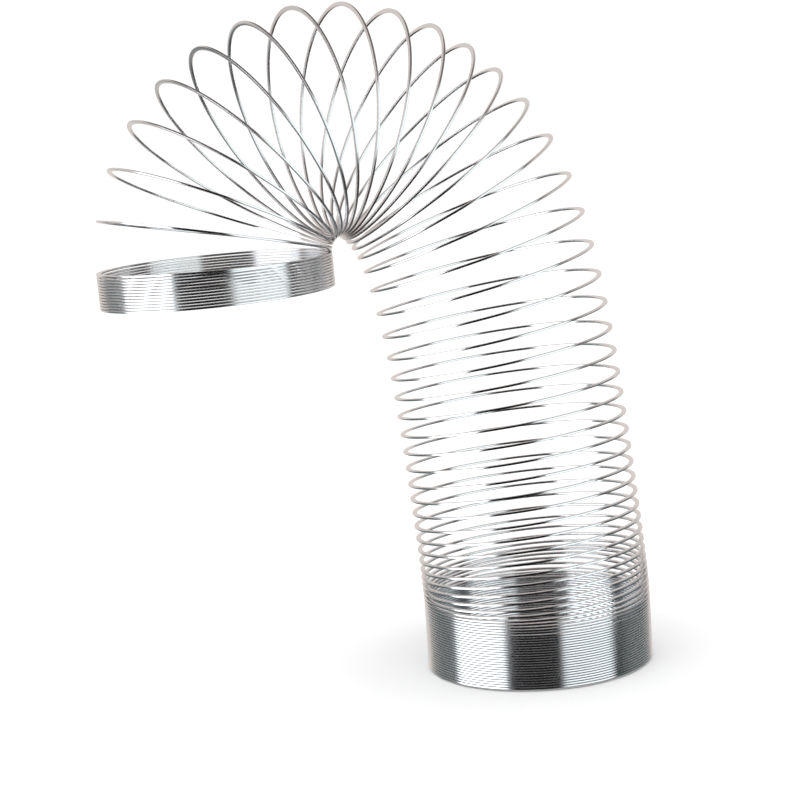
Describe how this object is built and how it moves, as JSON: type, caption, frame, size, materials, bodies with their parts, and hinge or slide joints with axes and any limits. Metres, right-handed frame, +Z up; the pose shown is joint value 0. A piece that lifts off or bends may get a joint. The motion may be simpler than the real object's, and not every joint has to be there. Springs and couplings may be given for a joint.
{
  "type": "spring coil toy",
  "caption": "Spring coil toy: a closed coil of flat steel wire bent in an arch, with a closed stack of turns at each end and open turns between them.",
  "frame": {"origin": "centre of the lower stack's flat underside, on the surface that it stands on", "axes": "+Z up along the lower stack's axis; the arch leans towards -X; the view of the object is from the -Y side"},
  "size_m": [0.1627, 0.0806, 0.2051],
  "materials": {
    "spring_steel": "bright drawn flat spring wire with fine lines along its length",
    "clip_steel": "thin pressed steel strip, slightly duller than the wire"
  },
  "bodies": {
    "lower_stack": {"lower_stack": "spring_steel", "lower_end_clip": "clip_steel"},
    "base_turn_1": {"base_turn_1": "spring_steel"},
    "base_turn_2": {"base_turn_2": "spring_steel"},
    "base_turn_3": {"base_turn_3": "spring_steel"},
    "base_turn_4": {"base_turn_4": "spring_steel"},
    "base_turn_5": {"base_turn_5": "spring_steel"},
    "base_turn_6": {"base_turn_6": "spring_steel"},
    "base_turn_7": {"base_turn_7": "spring_steel"},
    "base_turn_8": {"base_turn_8": "spring_steel"},
    "column_turns_1": {"column_turns_1": "spring_steel"},
    "column_turns_2": {"column_turns_2": "spring_steel"},
    "column_turns_3": {"column_turns_3": "spring_steel"},
    "column_turns_4": {"column_turns_4": "spring_steel"},
    "column_turns_5": {"column_turns_5": "spring_steel"},
    "column_turns_6": {"column_turns_6": "spring_steel"},
    "column_half_1": {"column_half_1": "spring_steel"},
    "column_half_2": {"column_half_2": "spring_steel"},
    "column_half_3": {"column_half_3": "spring_steel"},
    "column_half_4": {"column_half_4": "spring_steel"},
    "column_half_5": {"column_half_5": "spring_steel"},
    "column_half_6": {"column_half_6": "spring_steel"},
    "column_half_7": {"column_half_7": "spring_steel"},
    "column_half_8": {"column_half_8": "spring_steel"},
    "column_half_9": {"column_half_9": "spring_steel"},
    "column_half_10": {"column_half_10": "spring_steel"},
    "column_half_11": {"column_half_11": "spring_steel"},
    "column_half_12": {"column_half_12": "spring_steel"},
    "column_half_13": {"column_half_13": "spring_steel"},
    "column_half_14": {"column_half_14": "spring_steel"},
    "column_half_15": {"column_half_15": "spring_steel"},
    "column_half_16": {"column_half_16": "spring_steel"},
    "column_half_17": {"column_half_17": "spring_steel"},
    "column_half_18": {"column_half_18": "spring_steel"},
    "column_half_19": {"column_half_19": "spring_steel"},
    "column_half_20": {"column_half_20": "spring_steel"},
    "column_half_21": {"column_half_21": "spring_steel"},
    "column_half_22": {"column_half_22": "spring_steel"},
    "fan_turn_1": {"fan_turn_1": "spring_steel"},
    "fan_turn_2": {"fan_turn_2": "spring_steel"},
    "fan_turn_3": {"fan_turn_3": "spring_steel"},
    "fan_turn_4": {"fan_turn_4": "spring_steel"},
    "fan_turn_5": {"fan_turn_5": "spring_steel"},
    "fan_turn_6": {"fan_turn_6": "spring_steel"},
    "fan_turn_7": {"fan_turn_7": "spring_steel"},
    "fan_turn_8": {"fan_turn_8": "spring_steel"},
    "fan_turn_9": {"fan_turn_9": "spring_steel"},
    "fan_turn_10": {"fan_turn_10": "spring_steel"},
    "fan_turn_11": {"fan_turn_11": "spring_steel"},
    "fan_turn_12": {"fan_turn_12": "spring_steel"},
    "fan_turn_13": {"fan_turn_13": "spring_steel"},
    "fan_turn_14": {"fan_turn_14": "spring_steel"},
    "fan_turn_15": {"fan_turn_15": "spring_steel"},
    "upper_stack": {"upper_stack": "spring_steel", "upper_end_clip": "clip_steel"}
  },
  "joints": [
    {"name": "base_turn_1_twist", "type": "hinge", "parent": "lower_stack", "child": "base_turn_1", "pos_m": [-0.0313, -0.01402, 0.01744], "axis": [0.4087, -0.9127, 0], "range_deg": [-0.137, 0.338]},
    {"name": "base_turn_2_twist", "type": "hinge", "parent": "base_turn_1", "child": "base_turn_2", "pos_m": [-0.03073, -0.01524, 0.01824], "axis": [0.4442, -0.8959, 0.0003], "range_deg": [-0.137, 0.338]},
    {"name": "base_turn_3_twist", "type": "hinge", "parent": "base_turn_2", "child": "base_turn_3", "pos_m": [-0.03012, -0.01644, 0.01904], "axis": [0.4791, -0.8778, 0.0006], "range_deg": [-0.4, 0.99]},
    {"name": "base_turn_4_twist", "type": "hinge", "parent": "base_turn_3", "child": "base_turn_4", "pos_m": [-0.02946, -0.01761, 0.01984], "axis": [0.5132, -0.8583, 0.0011], "range_deg": [-0.91, 2.3]},
    {"name": "base_turn_5_twist", "type": "hinge", "parent": "base_turn_4", "child": "base_turn_5", "pos_m": [-0.03334, -0.00824, 0.02066], "axis": [0.2399, -0.9708, -0.0051], "range_deg": [-1.2, 3.04]},
    {"name": "base_turn_6_twist", "type": "hinge", "parent": "base_turn_5", "child": "base_turn_6", "pos_m": [-0.0318, 0.01302, 0.02195], "axis": [-0.38, -0.9244, -0.0313], "range_deg": [-1.27, 3.2]},
    {"name": "base_turn_7_twist", "type": "hinge", "parent": "base_turn_6", "child": "base_turn_7", "pos_m": [-0.01803, 0.02923, 0.02389], "axis": [-0.8522, -0.5201, -0.0565], "range_deg": [-1.33, 3.36]},
    {"name": "base_turns_open", "type": "hinge", "parent": "base_turn_7", "child": "base_turn_8", "pos_m": [0.00263, 0.03411, 0.02633], "axis": [-0.9938, 0.0856, -0.0711], "range_deg": [-1.39, 3.52]},
    {"name": "column_turns_1_twist", "type": "hinge", "parent": "base_turn_8", "child": "column_turns_1", "pos_m": [0.00986, 0.0327, 0.02793], "axis": [-0.9511, 0.299, -0.077], "range_deg": [-1.55, 0.7]},
    {"name": "column_turns_2_twist", "type": "hinge", "parent": "column_turns_1", "child": "column_turns_2", "pos_m": [-0.00115, -0.03407, 0.03383], "axis": [0.9979, -0.0096, 0.0642], "range_deg": [-1.21, 0.55]},
    {"name": "column_turns_3_twist", "type": "hinge", "parent": "column_turns_2", "child": "column_turns_3", "pos_m": [-0.01043, 0.03327, 0.03307], "axis": [-0.9588, -0.2805, -0.0443], "range_deg": [-2.22, 1]},
    {"name": "column_turns_4_twist", "type": "hinge", "parent": "column_turns_3", "child": "column_turns_4", "pos_m": [0.01727, -0.02777, 0.0447], "axis": [0.8377, 0.5459, 0.0138], "range_deg": [-2.37, 1.07]},
    {"name": "column_turns_5_twist", "type": "hinge", "parent": "column_turns_4", "child": "column_turns_5", "pos_m": [-0.02782, 0.02322, 0.04334], "axis": [-0.6443, -0.7647, 0.0142], "range_deg": [-2.88, 1.3]},
    {"name": "column_turns_6_twist", "type": "hinge", "parent": "column_turns_5", "child": "column_turns_6", "pos_m": [0.02921, -0.01156, 0.05674], "axis": [0.3959, 0.9171, -0.0477], "range_deg": [-3.1, 1.4]},
    {"name": "column_half_1_twist", "type": "hinge", "parent": "column_turns_6", "child": "column_half_1", "pos_m": [-0.03666, 0.00605, 0.05743], "axis": [-0.113, -0.991, 0.0716], "range_deg": [-3.53, 1.59]},
    {"name": "column_half_2_twist", "type": "hinge", "parent": "column_half_1", "child": "column_half_2", "pos_m": [0.03129, 0.00227, 0.06541], "axis": [0.0157, 0.9964, -0.083], "range_deg": [-3.59, 1.62]},
    {"name": "column_half_3_twist", "type": "hinge", "parent": "column_half_2", "child": "column_half_3", "pos_m": [-0.03714, -0.00023, 0.06295], "axis": [0.0823, -0.9928, 0.0865], "range_deg": [-3.8, 1.72]},
    {"name": "column_half_4_twist", "type": "hinge", "parent": "column_half_3", "child": "column_half_4", "pos_m": [0.03033, 0.00936, 0.07003], "axis": [-0.1789, 0.9791, -0.0967], "range_deg": [-3.77, 1.7]},
    {"name": "column_half_5_twist", "type": "hinge", "parent": "column_half_4", "child": "column_half_5", "pos_m": [-0.03634, -0.00638, 0.06877], "axis": [0.2744, -0.9565, 0.0985], "range_deg": [-4.12, 1.86]},
    {"name": "column_half_6_twist", "type": "hinge", "parent": "column_half_5", "child": "column_half_6", "pos_m": [0.02804, 0.01624, 0.07496], "axis": [-0.3666, 0.9241, -0.1074], "range_deg": [-3.96, 1.79]},
    {"name": "column_half_7_twist", "type": "hinge", "parent": "column_half_6", "child": "column_half_7", "pos_m": [-0.03617, -0.00787, 0.07437], "axis": [0.3305, -0.9377, 0.1071], "range_deg": [-4.45, 2.01]},
    {"name": "column_half_8_twist", "type": "hinge", "parent": "column_half_7", "child": "column_half_8", "pos_m": [0.02839, 0.01425, 0.08123], "axis": [-0.2941, 0.9502, -0.1032], "range_deg": [-4.14, 1.87]},
    {"name": "column_half_9_twist", "type": "hinge", "parent": "column_half_8", "child": "column_half_9", "pos_m": [-0.03745, -0.00489, 0.07972], "axis": [0.257, -0.961, 0.1023], "range_deg": [-4.77, 2.15]},
    {"name": "column_half_10_twist", "type": "hinge", "parent": "column_half_9", "child": "column_half_10", "pos_m": [0.02846, 0.01222, 0.08786], "axis": [-0.2198, 0.9706, -0.0977], "range_deg": [-4.32, 1.95]},
    {"name": "column_half_11_twist", "type": "hinge", "parent": "column_half_10", "child": "column_half_11", "pos_m": [-0.03861, -0.00186, 0.08529], "axis": [0.1821, -0.9786, 0.0963], "range_deg": [-5.09, 2.3]},
    {"name": "column_half_12_twist", "type": "hinge", "parent": "column_half_11", "child": "column_half_12", "pos_m": [0.02823, 0.01016, 0.09486], "axis": [-0.1444, 0.9853, -0.0909], "range_deg": [-4.5, 2.04]},
    {"name": "column_half_13_twist", "type": "hinge", "parent": "column_half_12", "child": "column_half_13", "pos_m": [-0.03967, 0.00121, 0.09109], "axis": [0.1061, -0.9904, 0.0888], "range_deg": [-5.54, 2.5]},
    {"name": "column_half_14_twist", "type": "hinge", "parent": "column_half_13", "child": "column_half_14", "pos_m": [0.02764, 0.00809, 0.10236], "axis": [-0.0682, 0.9943, -0.0824], "range_deg": [-4.8, 2.17]},
    {"name": "column_half_15_twist", "type": "hinge", "parent": "column_half_14", "child": "column_half_15", "pos_m": [-0.04065, 0.00432, 0.09725], "axis": [0.0297, -0.9964, 0.0796], "range_deg": [-6.12, 2.76]},
    {"name": "column_half_16_twist", "type": "hinge", "parent": "column_half_15", "child": "column_half_16", "pos_m": [0.02662, 0.00605, 0.1105], "axis": [0.0082, 0.9974, -0.0721], "range_deg": [-5.09, 2.3]},
    {"name": "column_half_17_twist", "type": "hinge", "parent": "column_half_16", "child": "column_half_17", "pos_m": [-0.04162, 0.00745, 0.10376], "axis": [-0.0466, -0.9966, 0.0683], "range_deg": [-6.7, 3.02]},
    {"name": "column_half_18_twist", "type": "hinge", "parent": "column_half_17", "child": "column_half_18", "pos_m": [0.0251, 0.00406, 0.11927], "axis": [0.0842, 0.9947, -0.0595], "range_deg": [-5.38, 2.43]},
    {"name": "column_half_19_twist", "type": "hinge", "parent": "column_half_18", "child": "column_half_19", "pos_m": [-0.04262, 0.01061, 0.11062], "axis": [-0.1224, -0.991, 0.0547], "range_deg": [-7.28, 3.29]},
    {"name": "column_half_20_twist", "type": "hinge", "parent": "column_half_19", "child": "column_half_20", "pos_m": [0.02302, 0.00216, 0.12864], "axis": [0.1593, 0.9862, -0.0445], "range_deg": [-5.67, 2.56]},
    {"name": "column_stretch", "type": "hinge", "parent": "column_half_20", "child": "column_half_21", "pos_m": [-0.0441, 0.01143, 0.11793], "axis": [-0.1286, -0.9905, 0.0494], "range_deg": [-8.09, 3.65]},
    {"name": "column_half_22_twist", "type": "hinge", "parent": "column_half_21", "child": "column_half_22", "pos_m": [0.02099, 0.0051, 0.13864], "axis": [0.0988, 0.9934, -0.0589], "range_deg": [-4.53, 2.05]},
    {"name": "fan_turn_1_twist", "type": "hinge", "parent": "column_half_22", "child": "fan_turn_1", "pos_m": [-0.04585, 0.00979, 0.12396], "axis": [-0.0682, -0.9955, 0.0656], "range_deg": [-9.16, 1.11]},
    {"name": "fan_turn_2_twist", "type": "hinge", "parent": "fan_turn_1", "child": "fan_turn_2", "pos_m": [-0.04755, 0.00806, 0.1286], "axis": [-0.0092, -0.9962, 0.087], "range_deg": [-10.22, 1.24]},
    {"name": "fan_turn_3_twist", "type": "hinge", "parent": "fan_turn_2", "child": "fan_turn_3", "pos_m": [-0.04906, 0.00619, 0.13183], "axis": [0.0467, -0.9922, 0.1154], "range_deg": [-10.48, 1.27]},
    {"name": "fan_turn_4_twist", "type": "hinge", "parent": "fan_turn_3", "child": "fan_turn_4", "pos_m": [-0.05039, 0.00424, 0.13416], "axis": [0.0975, -0.9837, 0.1514], "range_deg": [-9.96, 1.21]},
    {"name": "fan_turn_5_twist", "type": "hinge", "parent": "fan_turn_4", "child": "fan_turn_5", "pos_m": [-0.0515, 0.00377, 0.13543], "axis": [0.1082, -0.9808, 0.1626], "range_deg": [-9.44, 1.14]},
    {"name": "fan_turn_6_twist", "type": "hinge", "parent": "fan_turn_5", "child": "fan_turn_6", "pos_m": [-0.05225, 0.00484, 0.13575], "axis": [0.0897, -0.9864, 0.1378], "range_deg": [-9.76, 1.18]},
    {"name": "fan_turn_7_twist", "type": "hinge", "parent": "fan_turn_6", "child": "fan_turn_7", "pos_m": [-0.05305, 0.00589, 0.13598], "axis": [0.0756, -0.991, 0.1101], "range_deg": [-10.93, 1.32]},
    {"name": "fan_turn_8_twist", "type": "hinge", "parent": "fan_turn_7", "child": "fan_turn_8", "pos_m": [-0.05389, 0.00693, 0.1361], "axis": [0.067, -0.9945, 0.0801], "range_deg": [-12.09, 1.46]},
    {"name": "fan_spread", "type": "hinge", "parent": "fan_turn_8", "child": "fan_turn_9", "pos_m": [-0.05476, 0.00795, 0.13609], "axis": [0.0647, -0.9967, 0.0488], "range_deg": [-12.53, 1.51]},
    {"name": "fan_turn_10_twist", "type": "hinge", "parent": "fan_turn_9", "child": "fan_turn_10", "pos_m": [-0.05561, 0.00873, 0.13595], "axis": [0.0683, -0.9974, 0.0247], "range_deg": [-12.26, 1.48]},
    {"name": "fan_turn_11_twist", "type": "hinge", "parent": "fan_turn_10", "child": "fan_turn_11", "pos_m": [-0.0564, 0.00927, 0.13566], "axis": [0.0743, -0.9972, 0.0083], "range_deg": [-11.99, 1.45]},
    {"name": "fan_turn_12_twist", "type": "hinge", "parent": "fan_turn_11", "child": "fan_turn_12", "pos_m": [-0.05712, 0.00981, 0.13523], "axis": [0.0836, -0.9965, -0.0065], "range_deg": [-11.71, 1.42]},
    {"name": "fan_turn_13_twist", "type": "hinge", "parent": "fan_turn_12", "child": "fan_turn_13", "pos_m": [-0.05775, 0.01037, 0.13469], "axis": [0.0957, -0.9952, -0.019], "range_deg": [-11.74, 1.42]},
    {"name": "fan_turn_14_twist", "type": "hinge", "parent": "fan_turn_13", "child": "fan_turn_14", "pos_m": [-0.05826, 0.01093, 0.13404], "axis": [0.1099, -0.9935, -0.0289], "range_deg": [-12.06, 1.46]},
    {"name": "fan_turn_15_twist", "type": "hinge", "parent": "fan_turn_14", "child": "fan_turn_15", "pos_m": [-0.05864, 0.01151, 0.13332], "axis": [0.1259, -0.9914, -0.0356], "range_deg": [-12.38, 1.5]},
    {"name": "upper_stack_tilt", "type": "hinge", "parent": "fan_turn_15", "child": "upper_stack", "pos_m": [-0.05886, 0.01211, 0.13256], "axis": [0.1429, -0.989, -0.0386], "range_deg": [-12.7, 5]}
  ],
  "couplings": [
    {"joint": "base_turn_1_twist", "follows": "base_turns_open", "ratio": 0.0947},
    {"joint": "base_turn_2_twist", "follows": "base_turns_open", "ratio": 0.0947},
    {"joint": "base_turn_3_twist", "follows": "base_turns_open", "ratio": 0.2809},
    {"joint": "base_turn_4_twist", "follows": "base_turns_open", "ratio": 0.6532},
    {"joint": "base_turn_5_twist", "follows": "base_turns_open", "ratio": 0.8623},
    {"joint": "base_turn_6_twist", "follows": "base_turns_open", "ratio": 0.9082},
    {"joint": "base_turn_7_twist", "follows": "base_turns_open", "ratio": 0.9541},
    {"joint": "column_turns_1_twist", "follows": "column_stretch", "ratio": 0.1916},
    {"joint": "column_turns_2_twist", "follows": "column_stretch", "ratio": 0.1494},
    {"joint": "column_turns_3_twist", "follows": "column_stretch", "ratio": 0.2736},
    {"joint": "column_turns_4_twist", "follows": "column_stretch", "ratio": 0.2927},
    {"joint": "column_turns_5_twist", "follows": "column_stretch", "ratio": 0.3547},
    {"joint": "column_turns_6_twist", "follows": "column_stretch", "ratio": 0.3828},
    {"joint": "column_half_1_twist", "follows": "column_stretch", "ratio": 0.4356},
    {"joint": "column_half_2_twist", "follows": "column_stretch", "ratio": 0.4429},
    {"joint": "column_half_3_twist", "follows": "column_stretch", "ratio": 0.469},
    {"joint": "column_half_4_twist", "follows": "column_stretch", "ratio": 0.4656},
    {"joint": "column_half_5_twist", "follows": "column_stretch", "ratio": 0.509},
    {"joint": "column_half_6_twist", "follows": "column_stretch", "ratio": 0.4882},
    {"joint": "column_half_7_twist", "follows": "column_stretch", "ratio": 0.5489},
    {"joint": "column_half_8_twist", "follows": "column_stretch", "ratio": 0.5109},
    {"joint": "column_half_9_twist", "follows": "column_stretch", "ratio": 0.5888},
    {"joint": "column_half_10_twist", "follows": "column_stretch", "ratio": 0.5336},
    {"joint": "column_half_11_twist", "follows": "column_stretch", "ratio": 0.6287},
    {"joint": "column_half_12_twist", "follows": "column_stretch", "ratio": 0.5562},
    {"joint": "column_half_13_twist", "follows": "column_stretch", "ratio": 0.6845},
    {"joint": "column_half_14_twist", "follows": "column_stretch", "ratio": 0.5923},
    {"joint": "column_half_15_twist", "follows": "column_stretch", "ratio": 0.756},
    {"joint": "column_half_16_twist", "follows": "column_stretch", "ratio": 0.6283},
    {"joint": "column_half_17_twist", "follows": "column_stretch", "ratio": 0.8275},
    {"joint": "column_half_18_twist", "follows": "column_stretch", "ratio": 0.6644},
    {"joint": "column_half_19_twist", "follows": "column_stretch", "ratio": 0.899},
    {"joint": "column_half_20_twist", "follows": "column_stretch", "ratio": 0.7004},
    {"joint": "column_half_22_twist", "follows": "column_stretch", "ratio": 0.5596},
    {"joint": "fan_turn_1_twist", "follows": "fan_spread", "ratio": 0.7307},
    {"joint": "fan_turn_2_twist", "follows": "fan_spread", "ratio": 0.8151},
    {"joint": "fan_turn_3_twist", "follows": "fan_spread", "ratio": 0.8364},
    {"joint": "fan_turn_4_twist", "follows": "fan_spread", "ratio": 0.7946},
    {"joint": "fan_turn_5_twist", "follows": "fan_spread", "ratio": 0.7529},
    {"joint": "fan_turn_6_twist", "follows": "fan_spread", "ratio": 0.7785},
    {"joint": "fan_turn_7_twist", "follows": "fan_spread", "ratio": 0.8715},
    {"joint": "fan_turn_8_twist", "follows": "fan_spread", "ratio": 0.9645},
    {"joint": "fan_turn_10_twist", "follows": "fan_spread", "ratio": 0.9781},
    {"joint": "fan_turn_11_twist", "follows": "fan_spread", "ratio": 0.9562},
    {"joint": "fan_turn_12_twist", "follows": "fan_spread", "ratio": 0.9342},
    {"joint": "fan_turn_13_twist", "follows": "fan_spread", "ratio": 0.9362},
    {"joint": "fan_turn_14_twist", "follows": "fan_spread", "ratio": 0.9621},
    {"joint": "fan_turn_15_twist", "follows": "fan_spread", "ratio": 0.988}
  ]
}
